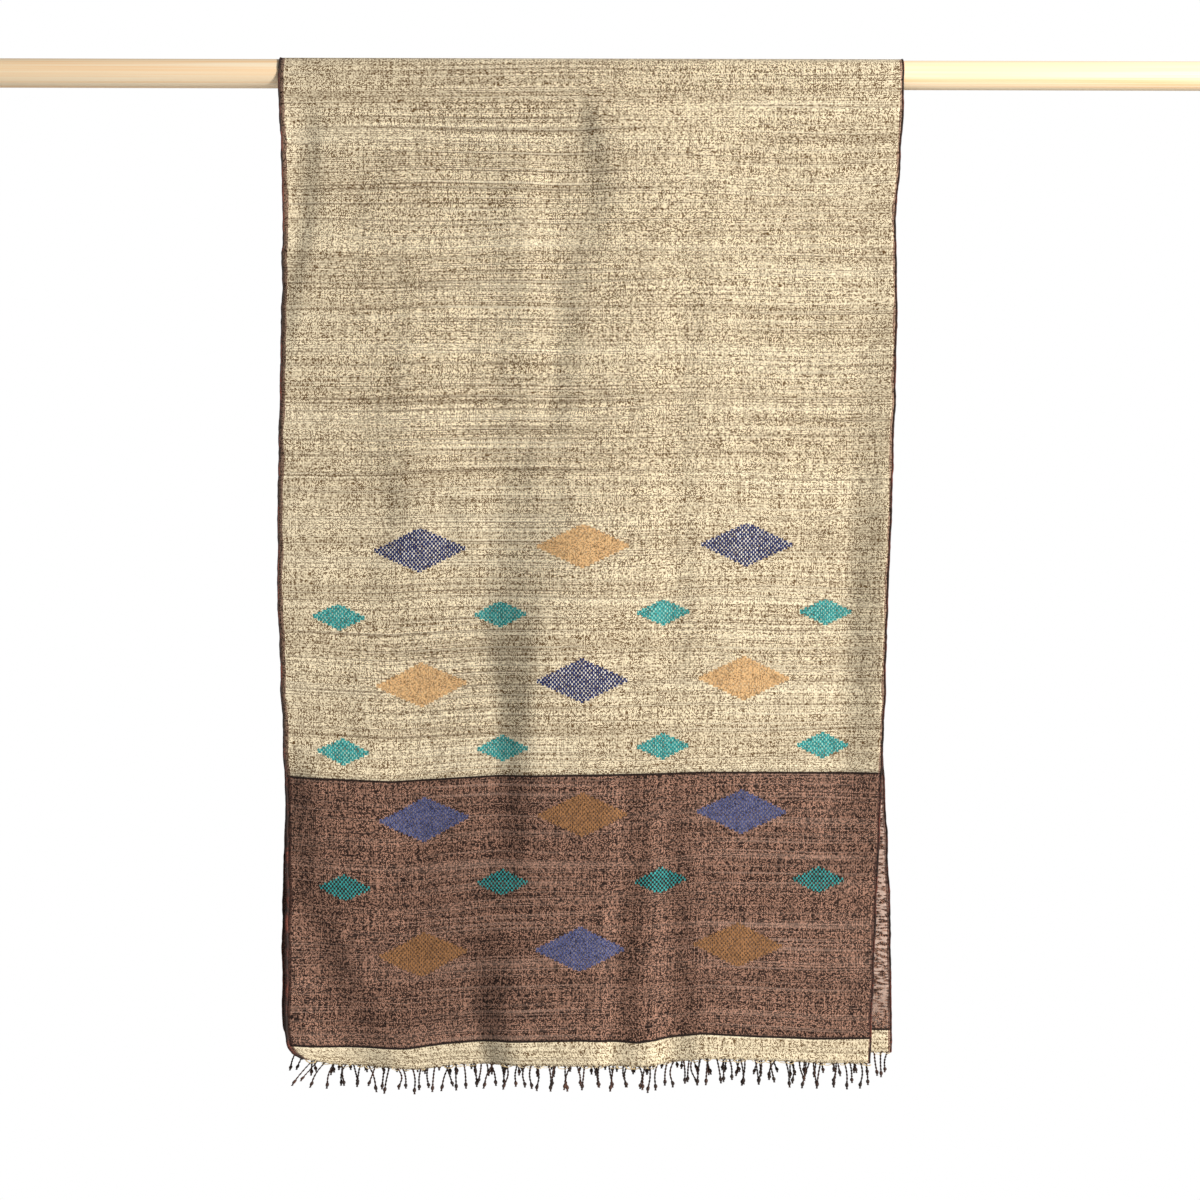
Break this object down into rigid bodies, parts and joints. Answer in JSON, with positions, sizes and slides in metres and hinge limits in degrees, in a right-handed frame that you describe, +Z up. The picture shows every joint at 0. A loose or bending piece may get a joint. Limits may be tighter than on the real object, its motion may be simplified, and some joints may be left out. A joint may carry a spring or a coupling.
{
  "type": "silk scarf on a wooden hanging rod",
  "caption": "Handwoven silk scarf hung in half over a plain round wood rod: natural field, brown end bands, natural headings and dark twisted fringe.",
  "frame": {"origin": "middle of the rod, on its axis, where the rod is held", "axes": "+X along the rod to the right of someone facing the front layer, +Y away from them towards the back layer, +Z up"},
  "size_m": [1.2, 0.0655, 0.9339],
  "materials": {
    "wood": "pale planed softwood, waxed",
    "field_silk": "handwoven natural silk with slubby weft",
    "band_silk": "handwoven brown silk with slubby weft",
    "heading_silk": "handwoven natural silk, plain weave",
    "fringe_silk": "twisted dark brown silk ends"
  },
  "bodies": {
    "root": {"rod": "wood", "cloth_over_rod": "field_silk", "front_field": "field_silk", "front_band": "band_silk", "front_heading": "heading_silk", "front_fringe": "fringe_silk", "back_field": "field_silk", "back_band": "band_silk", "back_heading": "heading_silk", "back_fringe": "fringe_silk"}
  },
  "joints": []
}
